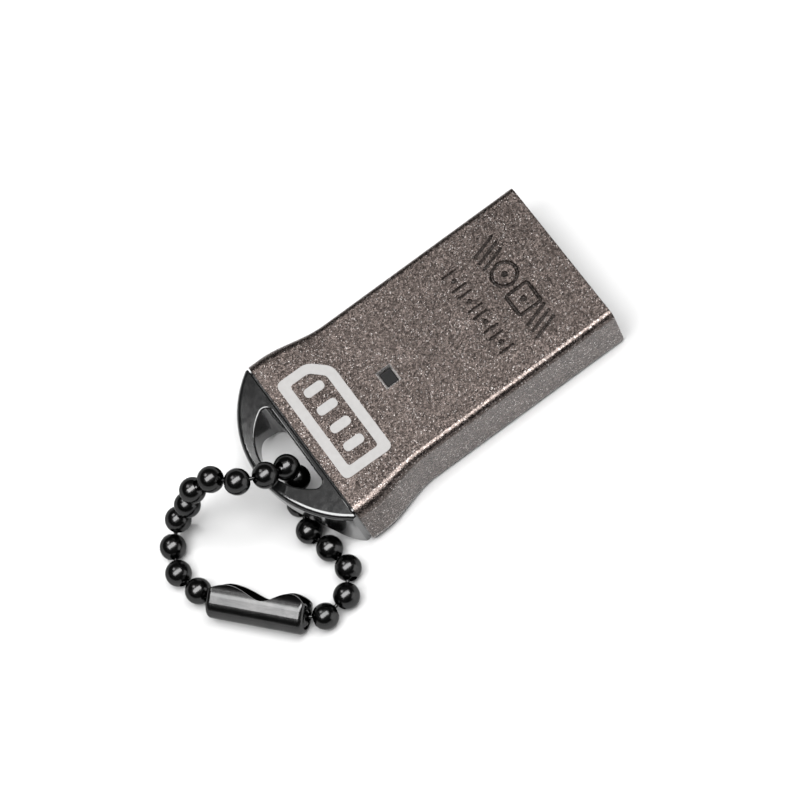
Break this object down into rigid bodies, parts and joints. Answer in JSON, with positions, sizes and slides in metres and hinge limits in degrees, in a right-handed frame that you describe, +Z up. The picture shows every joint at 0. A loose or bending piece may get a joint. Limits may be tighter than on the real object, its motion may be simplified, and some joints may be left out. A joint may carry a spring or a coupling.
{
  "type": "usb flash drive",
  "caption": "Short metal-sleeved flash drive with a plug at one end, and a moulded loop with a closed ball chain at the other",
  "frame": {"origin": "middle of the plug's mouth, in the plane of its open end", "axes": "+X is the way the plug goes into a port, +Y is to the left, +Z is up out of the marked face"},
  "size_m": [0.0338, 0.0175, 0.0074],
  "materials": {
    "sleeve_paint": "warm dark grey metallic paint with fine sparkle",
    "cap_plastic": "glossy black moulded plastic",
    "tray_plastic": "matte black moulded plastic",
    "film": "thin adhesive film",
    "board": "dark green solder mask",
    "contact_gold": "gold-plated contact pads",
    "mould_epoxy": "black moulded epoxy",
    "silicon": "polished silicon",
    "crystal_can": "plated metal lid",
    "ceramic": "tan ceramic",
    "resistor_body": "black coated ceramic",
    "chain_metal": "polished black-nickel plating",
    "clasp_metal": "black-nickel plated folded strip"
  },
  "bodies": {
    "drive": {"outer_shell": "sleeve_paint", "tail_cap": "cap_plastic", "board_tray": "tray_plastic", "retainer_block": "tray_plastic", "adhesive_film": "film", "cob_substrate": "board", "contact_power": "contact_gold", "contact_data_minus": "contact_gold", "contact_data_plus": "contact_gold", "contact_ground": "contact_gold", "encapsulant": "mould_epoxy", "nand_die_lower": "silicon", "nand_die_upper": "silicon", "controller_die": "silicon", "crystal": "crystal_can", "capacitors": "ceramic", "resistors": "resistor_body"},
    "chain_near": {"ball_16": "chain_metal", "ball_17": "chain_metal", "ball_18": "chain_metal", "ball_19": "chain_metal", "ball_01": "chain_metal", "ball_02": "chain_metal", "ball_03": "chain_metal", "ball_04": "chain_metal", "pins_near": "chain_metal"},
    "chain_middle": {"ball_05": "chain_metal", "ball_06": "chain_metal", "ball_07": "chain_metal", "ball_08": "chain_metal", "ball_09": "chain_metal", "ball_13": "chain_metal", "ball_14": "chain_metal", "ball_15": "chain_metal", "pins_middle": "chain_metal"},
    "chain_far": {"ball_10": "chain_metal", "ball_11": "chain_metal", "ball_12": "chain_metal", "pins_far": "chain_metal"},
    "clasp": {"clasp": "clasp_metal"}
  },
  "joints": [
    {"name": "chain_swing", "type": "hinge", "parent": "drive", "child": "chain_near", "pos_m": [-0.0244, 0, 0.0013], "axis": [0, 1, 0], "range_deg": [0, 55]},
    {"name": "chain_first_fold", "type": "hinge", "parent": "chain_near", "child": "chain_middle", "pos_m": [-0.02775, 0.0009, 0.00373], "axis": [0.4107, -0.7438, -0.5273], "range_deg": [-18, 18]},
    {"name": "chain_second_fold", "type": "hinge", "parent": "chain_middle", "child": "chain_far", "pos_m": [-0.03257, -0.00236, -0.00135], "axis": [0.5902, -0.8069, 0.0223], "range_deg": [-18, 18]},
    {"name": "clasp_swivel", "type": "hinge", "parent": "chain_far", "child": "clasp", "pos_m": [-0.02998, -0.0065, -0.00112], "axis": [0.6575, -0.7534, -0.0034], "continuous": true}
  ]
}
